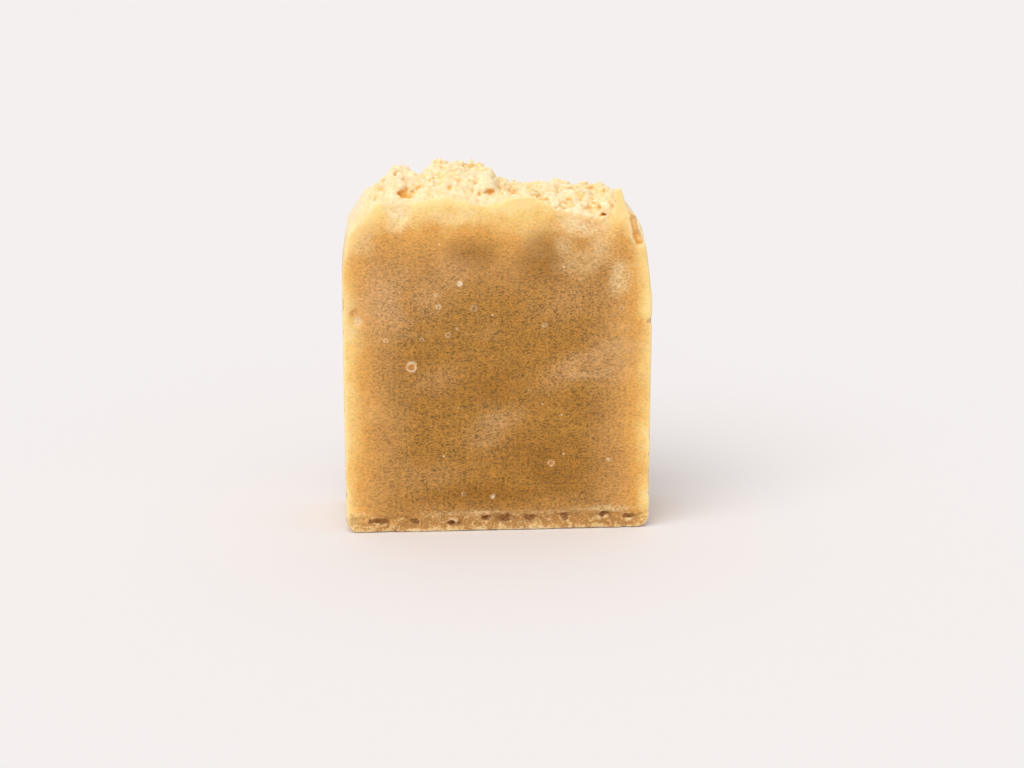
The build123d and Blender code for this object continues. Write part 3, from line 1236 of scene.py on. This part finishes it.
@dataclass(frozen=True)
class SoapFinish:
    """Hand-made soap: a brown core, a golden rim partly painted as edge glow, ash, mottling, specks, cream where it is
    broken, painted shade in hollows and pits, and painted light on the slanting cuts.

    Attributes:
        half_width: Half the bar's width, in millimetres, as are the other lengths but the last.
        half_thickness: Half its thickness.
        patch_edge: Where a patch ends, as a share of its size.
        patch_middle: Where it is full.
        side_run: How far in from the sides the core's colour is reached.
        foot_run: How far up from the foot.
        head_height: Where the core's colour begins to show below the top.
        head_run: How far below that it is reached.
        thread_mean: Mean of the thread pattern.
        face_tone: Brightness of the cut faces.
        lip_height: Height of the crusty lip along the foot.
        scattered: Share of the light that sinks in.
        scatter_reach: How far it goes, in metres.
    """

    half_width: float
    half_thickness: float
    core: Tint = display(166, 117, 44)
    core_dark: Tint = display(142, 92, 10)
    haze: Tint = display(212, 168, 120)
    cloud: Tint = display(198, 152, 98)
    pale_rim_and_glow: Tint = display(252, 220, 150)
    gold_rim_and_glow: Tint = display(242, 200, 120)
    rim_deep: Tint = display(222, 164, 82)
    rim_brown: Tint = display(200, 147, 76)
    brown: Tint = display(181, 132, 67)
    wall: Tint = display(228, 188, 138)
    wall_high: Tint = display(252, 228, 184)
    wall_spot_and_shade: Tint = display(196, 142, 84)
    cream: Tint = display(250, 226, 184)
    yellow: Tint = display(248, 212, 142)
    crevice_shade: Tint = display(234, 172, 72)
    ash: Tint = display(248, 222, 170)
    speck: Tint = display(250, 232, 200)
    lip: Tint = display(170, 122, 66)
    crust: Tint = display(244, 216, 160)
    pit_shade: Tint = display(118, 64, 14)
    pit_shade_upper: Tint = display(206, 140, 64)
    tan: Tint = display(228, 190, 138)
    patch_edge: float = 1.25
    patch_middle: float = 0.1
    side_run: float = 16.0
    foot_run: float = 12.0
    head_height: float = 68.5
    head_run: float = 23.5
    thread_mean: float = 0.19
    face_tone: float = 0.985
    lip_height: float = 3.6
    scattered: float = 0.35
    scatter_reach: float = 0.0016
    dark_patches: tuple[Patch, ...] = (
        Patch(9.5, 57.5, 7.0, 6.0, 0.8, 0.9),
        Patch(-5.0, 59.0, 6.5, 4.0, 0.75),
        Patch(0.0, 31.0, 10.0, 5.0, 0.55),
        Patch(10.0, 14.0, 13.0, 8.0, 0.6),
        Patch(-2.0, 8.0, 16.0, 3.5, 0.75),
        Patch(-16.0, 31.0, 8.0, 6.0, 0.3),
        Patch(19.0, 26.0, 6.0, 4.0, 0.4),
    )
    haze_patches: tuple[Patch, ...] = (
        Patch(-24.0, 49.0, 7.5, 10.0, 0.8, 0.2),
        Patch(-9.5, 55.5, 6.0, 4.5, 0.4, 0.4),
        Patch(-15.5, 50.0, 6.0, 6.0, 0.4),
        Patch(-13.0, 33.0, 8.0, 4.0, 0.35, 0.3),
    )
    cloud_patches: tuple[Patch, ...] = (
        Patch(17.0, 35.0, 15.0, 4.0, 0.85, 0.35),
        Patch(-1.0, 22.5, 9.0, 3.6, 0.7, 0.5),
        Patch(13.0, 48.0, 10.0, 5.0, 0.6, 0.2),
        Patch(-14.0, 12.0, 9.0, 4.0, 0.4, 0.2),
    )
    ash_patches: tuple[Patch, ...] = (
        Patch(-19.8, 66.5, 2.8, 4.4, 1.0, -0.3),
        Patch(16.5, 64.0, 6.0, 2.8, 0.9, -0.25),
        Patch(13.6, 60.5, 2.4, 3.8, 0.5, 0.1),
        Patch(20.5, 60.5, 2.8, 4.5, 0.55, -0.1),
        Patch(18.0, 57.5, 7.0, 3.4, 0.35, 0.2),
        Patch(25.0, 53.5, 2.6, 4.4, 0.6),
        Patch(-10.0, 66.5, 8.0, 2.0, 0.5),
        Patch(-28.0, 61.0, 3.0, 6.0, 0.4, -0.5),
        Patch(-2.0, 3.9, 18.0, 0.8, 0.3),
        Patch(23.0, 4.4, 8.0, 1.0, 0.5),
    )
    rings: tuple[Ring, ...] = (
        Ring(-17.8, 35.5, 0.9, 0.42, 0.9),
        Ring(11.0, 14.5, 0.62, 0.16, 0.9),
        Ring(25.3, 47.2, 0.42),
        Ring(22.9, 15.1, 0.33),
        Ring(9.5, 43.8, 0.4),
        Ring(-7.3, 8.1, 0.35),
        Ring(-23.0, 41.1, 0.4, 0.16),
        Ring(-7.8, 52.7, 0.3, 0.5, 0.9),
        Ring(-12.2, 48.0, 0.35, 0.4),
        Ring(-12.7, 50.4, 0.2, 0.3),
        Ring(-28.5, 45.2, 0.5, 0.6, 0.5),
        Ring(-1.2, 7.5, 0.3, 0.3, 0.8),
        Ring(-10.3, 42.1, 0.5, 0.2, 0.4),
        Ring(-15.6, 41.2, 0.3, 0.2, 0.4),
        Ring(-5.0, 47.6, 0.6, 0.25, 0.3),
        Ring(6.3, 30.1, 0.03, 0.16, 1.0),
        Ring(13.1, 24.8, 0.03, 0.18, 1.0),
        Ring(-8.2, 26.6, 0.03, 0.16, 1.0),
        Ring(16.7, 53.2, 0.03, 0.18, 1.0),
        Ring(-8.4, 43.4, 0.08, 0.2, 1.0),
    )

    def spread(self, patches: tuple[Patch, ...], patterns: SoapPatterns, warp: Value) -> Value:
        """Work out how much of some patches' colour shows: full in each middle, and none past each edge.

        Args:
            patches: The patches.
            patterns: The soap's patterns.
            warp: How far the edges stray, as a share of the patch.

        Returns:
            The greatest share of any patch.
        """
        masks = []
        for patch in patches:
            across, up = patterns.x - patch.x, patterns.z - patch.z
            along = (across * cos(patch.turn) + up * sin(patch.turn)) / patch.width
            beside = (up * cos(patch.turn) - across * sin(patch.turn)) / patch.height
            out = (along * along + beside * beside).root() + warp
            masks.append(out.rise(self.patch_edge, self.patch_middle) * patch.share)
        return reduce(Value.most, masks)

    def bubbles(self, patterns: SoapPatterns) -> Value:
        """Work out how much of the rings' colour shows: full on each ring's line, and none beyond its width.

        Args:
            patterns: The soap's patterns.

        Returns:
            The greatest share of any ring, on the front face alone.
        """
        wobble = patterns.grain * 0.55 + patterns.mottle * 0.35
        masks = []
        for ring in self.rings:
            across, up = patterns.x - ring.x, patterns.z - ring.z
            out = (across * across + up * up).root() + wobble
            masks.append(abs(out - ring.radius).rise(ring.line, ring.line * 0.3) * ring.share)
        front = patterns.y.rise(1.0 - self.half_thickness, 0.5 - self.half_thickness)
        worn = (0.7 + patterns.grain * 1.2 + patterns.mottle).most(0.0).least(1.0)
        return reduce(Value.most, masks) * front * worn

    def specks(self, patterns: SoapPatterns) -> Value:
        """Work out where the small white specks are: the middles of a few cells out of many.

        Args:
            patterns: The soap's patterns.

        Returns:
            How much of the specks' colour shows.
        """
        inputs = {"Vector": patterns.shader.place((1, 1, 1), (0.4, 0.1, 0.7)), "Scale": 0.28}
        cells = patterns.shader.node("ShaderNodeTexVoronoi", {"feature": "F1"}, inputs)
        split = patterns.shader.node("ShaderNodeSeparateColor", None, {0: cells.outputs["Color"]})
        chosen = Value(patterns.shader, split.outputs[0]).rise(0.45, 0.8)
        return (Value(patterns.shader, cells.outputs["Distance"]) + patterns.grain * 0.03).rise(0.075, 0.03) * chosen

    def cut_face(self, patterns: SoapPatterns) -> Colour:
        """Colour the cut faces, from the golden rim in to the brown core; the rim's palest bands are partly painted
        glow of light through the thin edges.

        Args:
            patterns: The soap's patterns.

        Returns:
            The colour, without the foot.
        """
        side = (self.half_width - abs(patterns.x)) / self.side_run
        foot = patterns.z / self.foot_run + 0.3
        head = (self.head_height - patterns.z) / self.head_run
        depth = side.least(foot).least(head) + patterns.cloud * 0.2 + patterns.blotch * 0.12 + patterns.mottle * 0.07
        # the two palest stops are partly the soap's own pale rim and partly painted glow, standing in for light
        # shining through the thin edges
        face = patterns.shader.ramp(
            depth,
            (0.0, self.pale_rim_and_glow),
            (0.08, self.gold_rim_and_glow),
            (0.22, self.rim_deep),
            (0.42, self.rim_brown),
            (0.62, self.brown),
            (0.95, self.core),
        )
        warp = patterns.cloud * 0.35 + patterns.blotch * 0.35 + patterns.mottle * 0.2
        speckled = 0.8 + patterns.mottle * 0.6 + patterns.grain * 0.3
        face = face.mixed(self.core_dark, self.spread(self.dark_patches, patterns, warp) * speckled)
        face = face.mixed(self.haze, self.spread(self.haze_patches, patterns, warp * 1.4) * speckled * 0.75)
        face = face.mixed(self.cloud, self.spread(self.cloud_patches, patterns, warp * 1.4) * speckled * 0.75)
        fine = patterns.mottle * 0.38 + patterns.grain * 0.75
        fine = fine + (patterns.thread - self.thread_mean) * 1.25 + patterns.streak * 0.12
        tone = (fine + patterns.blotch * 0.14) * depth.rise(-0.35, 1.0)
        face = face.shaded(tone.most(-0.6) + self.face_tone)
        ash = self.spread(self.ash_patches, patterns, warp * 1.6) * (0.7 + patterns.mottle + patterns.grain * 1.2)
        face = face.mixed(self.ash, ash.most(0.0).least(1.0))
        face = face.mixed(self.speck, self.bubbles(patterns))
        return face.mixed(self.speck, self.specks(patterns) * 0.75)

    def footed(self, patterns: SoapPatterns, face: Colour) -> Colour:
        """Lay the crusty lip along the foot of the cut faces, with painted shade in its nooks, and paint shade into
        the pits.

        Args:
            patterns: The soap's patterns.
            face: The cut faces' colour.

        Returns:
            The colour with the foot.
        """
        strayed = patterns.z + patterns.blotch * 3.0 + patterns.mottle * 1.4
        lip = (strayed + patterns.grain * 0.8).rise(self.lip_height, 2.2)
        crumbs = patterns.mottle * 1.5 + patterns.grain * 0.9 + patterns.thread * 0.6
        # painted shade: the dark lip colour takes over where the nook mark says soap closes round, and the pale crust
        # where it stands out
        crusty = (crumbs - patterns.nook * 1.4).rise(0.05, 0.7)
        face = face.mixed(patterns.shader.mix(self.lip, self.crust, crusty), lip * 0.55)
        line = abs(patterns.z + patterns.blotch * 2.8 + patterns.mottle * 1.2 - self.lip_height).rise(0.4, 0.05)
        line = line + patterns.z.rise(0.7, 0.2)
        flecks = 0.2 + patterns.grain * 1.2 + patterns.mottle * 1.5
        face = face.mixed(self.crust, (line * flecks).most(0.0).least(0.8))
        # painted shade: the pits' walls are painted dark brown, darkest low down near the floor, lighter in pits
        # higher up
        pit_shade = patterns.shader.mix(self.pit_shade, self.pit_shade_upper, (patterns.z + patterns.blotch * 2.5).rise(2.5, 6.0))
        return face.mixed(pit_shade, patterns.pit * (0.8 + patterns.grain * 0.6 - patterns.thread * 0.8))

    def mould_wall(self, patterns: SoapPatterns) -> Colour:
        """Colour the sides that the mould shaped: beige with small darker spots, painted shade in its nooks, and paler
        near the top.

        Args:
            patterns: The soap's patterns.

        Returns:
            The colour.
        """
        high = (patterns.z + patterns.cloud * 6.0 + patterns.blotch * 4.0).rise(50.0, 66.0)
        wall = patterns.shader.mix(self.wall, self.wall_high, high)
        wall = wall.mixed(self.rim_deep, (patterns.cloud * 0.8 + patterns.blotch * 0.6).rise(0.1, 0.6) * 0.35)
        spots = (patterns.blotch * 0.5 + patterns.mottle * 0.9 + patterns.grain * 0.6).rise(0.25, 0.6)
        wall = wall.mixed(self.wall_spot_and_shade, spots * (0.5 - high * 0.35))
        # painted shade: the wall is darkened where the nook mark says soap closes round
        wall = wall.mixed(self.wall_spot_and_shade, patterns.nook.rise(0.05, 0.35) * 0.7)
        fine = (patterns.mottle * 0.15 + patterns.grain * 0.3) * (1.0 - high * 0.55)
        return wall.shaded(0.98 + patterns.cloud * 0.14 + fine)

    def broken_soap(self, patterns: SoapPatterns) -> Colour:
        """Colour the broken soap: cream crumbs with yellow between them, yellower in hollows and gold in the deepest
        places as painted shade.

        Args:
            patterns: The soap's patterns.

        Returns:
            The colour.
        """
        # painted shade: hollows pull the crumbs from cream towards yellow
        pale = 0.62 + patterns.crumb + patterns.cloud * 0.5 + patterns.grain * 0.5 - patterns.hollow * 0.7
        pile = patterns.shader.mix(self.yellow, self.cream, pale.rise(0.05, 0.95))
        pile = pile.mixed(self.tan, (patterns.blotch * 0.9 + patterns.crumb * 0.4 - 0.05).rise(0.05, 0.5) * 0.55)
        # painted shade: gold laid where the hollow, nook and pit marks say the soap is deep in a crevice
        deep = (patterns.hollow * 1.1 + patterns.nook * 1.2 + patterns.pit * 0.2).rise(0.2, 0.95) * 0.8
        return pile.mixed(self.crevice_shade, deep).shaded(1.0 + patterns.grain * 0.35 + patterns.crumb * 0.1)

    def material(self) -> bpy.types.Material:
        """Build the soap: its colours laid over each other, its relief, and light that sinks a little way in.

        Returns:
            The material.
        """
        shader = Shader("soap")
        patterns = SoapPatterns(shader)
        soap = self.footed(patterns, self.cut_face(patterns))
        soap = soap.mixed(self.mould_wall(patterns), patterns.wall)
        # painted light: the slanting cuts are painted paler, as facets turned towards the lamp look
        soap = soap.mixed(self.pale_rim_and_glow, patterns.bevel * (0.6 + patterns.blotch * 0.6))
        edge = (0.0 - patterns.nook).rise(0.1, 0.42)
        soap = soap.mixed(self.cream, (edge * (0.5 + patterns.mottle * 0.8)).most(0.0))
        soap = soap.mixed(self.broken_soap(patterns), patterns.broken * patterns.z.rise(5.0, 7.0))

        relief = patterns.grain * 0.06 + patterns.mottle * 0.07 + patterns.streak * 0.02 + patterns.thread * 0.02
        relief = relief + patterns.crumb * patterns.broken * 0.12
        bump = shader.node("ShaderNodeBump", None, {"Strength": 0.8, "Distance": MM, "Height": relief})
        inputs = {
            "Base Color": soap,
            "Roughness": 0.5 + patterns.broken * 0.16 + patterns.grain * 0.1,
            "Normal": bump.outputs[0],
            "Subsurface Weight": self.scattered,
            "Subsurface Radius": (1.0, 0.55, 0.22),
            "Subsurface Scale": self.scatter_reach,
            "IOR": 1.45,
            "Specular IOR Level": 0.4,
        }
        return shader.finish(shader.node("ShaderNodeBsdfPrincipled", {"subsurface_method": "RANDOM_WALK"}, inputs))


@dataclass
class SoapBar:
    """The bar of soap: one skin on the body root, in place of the CAD bar. Lengths are in millimetres.

    Attributes:
        low: The frame's lowest corner, in metres.
        high: Its highest corner.
        step: Spacing of the grid.
        headroom: Room above the bar on the grid.
        heap_foot: Height above which the skin may stray as far as the heap's band.
        heap_band: Half the width of the band round the rough skin that is worked out there.
        side_band: The same below that height.
        batch: Points worked out at a time.
        triangle_limit: Most triangles in the finished skin.
        hollow_reach: How far round a place the mark of hollows looks.
        nook_reach: How far the mark of nooks looks.
    """

    low: Vector
    high: Vector
    step: float = 0.25
    headroom: float = 4.0
    heap_foot: float = 58.0
    heap_band: float = 3.4
    side_band: float = 1.2
    batch: int = 500000
    triangle_limit: int = 190000
    hollow_reach: float = 1.8
    nook_reach: float = 0.6
    name: str = "soap_bar_skin"
    shape: SoapShape = field(init=False)

    def __post_init__(self) -> None:
        """Take the shape's size from the frame's box."""
        size = (self.high - self.low) / MM
        self.shape = SoapShape(size.x / 2, size.y / 2, size.z)

    def grid(self) -> Grid:
        """Lay out the grid that holds the bar.

        Returns:
            The grid, with room all round the bar.
        """
        margin = 4 * self.step
        x, y = self.shape.half_width + margin, self.shape.half_thickness + margin
        return Grid((-x, -y, -margin), (x, y, self.shape.height + self.headroom), self.step)

    def fill(self, grid: Grid) -> Array:
        """Work out the bar's field on the grid, finely only in a band round the skin.

        Args:
            grid: The grid.

        Returns:
            The field at each of the grid's points.
        """
        rough = self.shape.rough_distance(grid.axes())
        values = np.broadcast_to(rough, grid.counts).astype(np.float32).copy()
        band = np.where(grid.axes()[2] > self.heap_foot, self.heap_band, self.side_band)
        near = np.flatnonzero((np.abs(values) < band).ravel())
        log.info("grid %s, %d points near the skin", grid.counts, len(near))
        flat = values.ravel()
        for start in range(0, len(near), self.batch):
            chosen = near[start : start + self.batch]
            flat[chosen] = self.shape.distance(grid.points(chosen))
        return values

    def thin(self, mesh: bpy.types.Mesh) -> bpy.types.Mesh:
        """Merge a mesh's flat stretches into larger faces, down to the triangle limit.

        Args:
            mesh: The mesh, of four-sided faces.

        Returns:
            The thinned mesh, or the same one where it has few enough.
        """
        triangles = 2 * len(mesh.polygons)
        if triangles <= self.triangle_limit:
            return mesh
        carrier = bpy.data.objects.new("carrier", mesh)
        bpy.context.scene.collection.objects.link(carrier)
        thinner = carrier.modifiers.new("thin", "DECIMATE")
        thinner.ratio = self.triangle_limit / triangles
        graph = bpy.context.evaluated_depsgraph_get()
        thinned = bpy.data.meshes.new_from_object(carrier.evaluated_get(graph))
        bpy.data.objects.remove(carrier)
        return thinned

    def mark(self, mesh: bpy.types.Mesh, grid: Grid, values: Array) -> None:
        """Give the vertices the marks that the finish reads.

        Args:
            mesh: The skin's mesh.
            grid: The grid that the skin was laid on.
            values: The field on the grid.
        """
        places = np.empty(len(mesh.vertices) * 3, np.float32)
        mesh.vertices.foreach_get("co", places)
        points = Points(*(places.reshape(-1, 3) / MM).T)
        outline, face = self.shape.outline(points), np.abs(points.y) - self.shape.half_thickness
        held = (values < 0).astype(np.float32)
        marks = {
            Mark.BROKEN: smooth_step(0.2, 0.9, -np.maximum(outline, face)),
            Mark.HOLLOW: 2.0 * grid.sample(box_blur(held, round(self.hollow_reach / grid.step)), points) - 1.0,
            Mark.NOOK: 2.0 * grid.sample(box_blur(held, round(self.nook_reach / grid.step)), points) - 1.0,
            Mark.BEVEL: smooth_step(-1.5, -0.2, self.shape.bevels(points)),
            Mark.PIT: self.shape.inside_pits(points),
            Mark.WALL: smooth_step(-0.9, -0.45, outline) * smooth_step(-0.3, -0.85, face),
        }
        for mark, numbers in marks.items():
            attribute = mesh.attributes.new(mark.value, "FLOAT", "POINT")
            attribute.data.foreach_set("value", numbers.astype(np.float32))

    def mesh(self) -> bpy.types.Mesh:
        """Build the skin's mesh, in metres.

        Returns:
            The mesh, with its marks.
        """
        grid = self.grid()
        values = rounded(self.fill(grid))
        vertices, faces = largest_piece(*grid.skin(values))
        mesh = bpy.data.meshes.new(self.name)
        mesh.from_pydata((vertices * MM).tolist(), [], faces.tolist())
        mesh = self.thin(mesh)
        self.mark(mesh, grid, values)
        mesh.shade_smooth()
        log.info("skin thinned from %d to %d faces", len(faces), len(mesh.polygons))
        return mesh

    def build(self) -> bpy.types.Object:
        """Build and dress the bar, and put it on its body.

        Returns:
            The bar.
        """
        mesh = self.mesh()
        mesh.materials.append(SoapFinish(self.shape.half_width, self.shape.half_thickness).material())
        bar = bpy.data.objects.new(self.name, mesh)
        bpy.context.scene.collection.objects.link(bar)
        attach(bar, "root")
        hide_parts("soap_bar")
        log.info("%s rides on root", bar.name)
        return bar


@dataclass(frozen=True)
class Stage:
    """A plain pale floor, soft studio light and the camera. Lengths are in metres, and angles in degrees.

    The camera is turned a little to one side, looks down by its tilt, and stands a little to the
    right of the line through the bar's middle.
    """

    floor_reach: float = 4.0
    floor_colour: Tint = display(234, 230, 229)
    sky_colour: Tint = display(243, 242, 242)
    sky_strength: float = 0.8
    lamp_place: tuple[float, float, float] = (-0.3, -0.45, 0.75)
    lamp_target: tuple[float, float, float] = (0.0, 0.0, 0.03)
    lamp_power: float = 1.55
    lamp_spread: float = 50.0
    lens: float = 75.6
    distance: float = 0.4417
    camera_height: float = 0.1386
    camera_shift: float = 0.0037
    camera_turn: float = 4.0
    camera_tilt: float = 14.0

    def floor(self) -> bpy.types.Object:
        """Build the floor.

        Returns:
            The floor.
        """
        mesh = bpy.data.meshes.new("floor")
        reach = self.floor_reach
        corners = [(-reach, -reach, 0), (reach, -reach, 0), (reach, reach, 0), (-reach, reach, 0)]
        mesh.from_pydata(corners, [], [(0, 1, 2, 3)])
        shader = Shader("floor")
        inputs = {"Base Color": self.floor_colour, "Roughness": 0.9, "Specular IOR Level": 0.1}
        mesh.materials.append(shader.finish(shader.node("ShaderNodeBsdfPrincipled", None, inputs)))
        floor = bpy.data.objects.new("floor", mesh)
        bpy.context.scene.collection.objects.link(floor)
        return floor

    def sky(self) -> None:
        """Light the scene evenly from all round."""
        world = bpy.data.worlds.new("World")
        bpy.context.scene.world = world
        world.use_nodes = True
        background = world.node_tree.nodes["Background"]
        background.inputs["Color"].default_value = self.sky_colour
        background.inputs["Strength"].default_value = self.sky_strength

    def lamp(self) -> bpy.types.Object:
        """Build the large soft lamp, above and to the left of the front.

        Returns:
            The lamp.
        """
        data = bpy.data.lights.new("key", "SUN")
        data.energy = self.lamp_power
        data.angle = radians(self.lamp_spread)
        lamp = bpy.data.objects.new("key", data)
        lamp.location = self.lamp_place
        aim = Vector(self.lamp_target) - lamp.location
        lamp.rotation_euler = aim.to_track_quat("-Z", "Y").to_euler()
        bpy.context.scene.collection.objects.link(lamp)
        return lamp

    def camera(self) -> bpy.types.Object:
        """Build the camera, and make it the scene's.

        Returns:
            The camera.
        """
        data = bpy.data.cameras.new("camera")
        data.lens = self.lens
        data.sensor_width = 36.0
        camera = bpy.data.objects.new("camera", data)
        turn = radians(self.camera_turn)
        back, right = self.distance, self.camera_shift
        place = (right * cos(turn) - back * sin(turn), -right * sin(turn) - back * cos(turn), self.camera_height)
        camera.location = place
        camera.rotation_euler = Euler((radians(90.0 - self.camera_tilt), 0.0, -turn))
        bpy.context.scene.collection.objects.link(camera)
        bpy.context.scene.camera = camera
        return camera

    def build(self) -> None:
        """Build the whole stage, and show colours without a film look."""
        bpy.context.scene.view_settings.view_transform = "Standard"
        for made in (self.floor(), self.lamp(), self.camera()):
            log.info("stage has %s", made.name)
        self.sky()


def main() -> None:
    """Build the bar and its stage."""
    logging.basicConfig(level=logging.INFO, format="%(name)s: %(message)s")
    SoapBar(*cad_bounds, step=0.25).build()
    Stage().build()


if __name__ == "__main__":
    main()
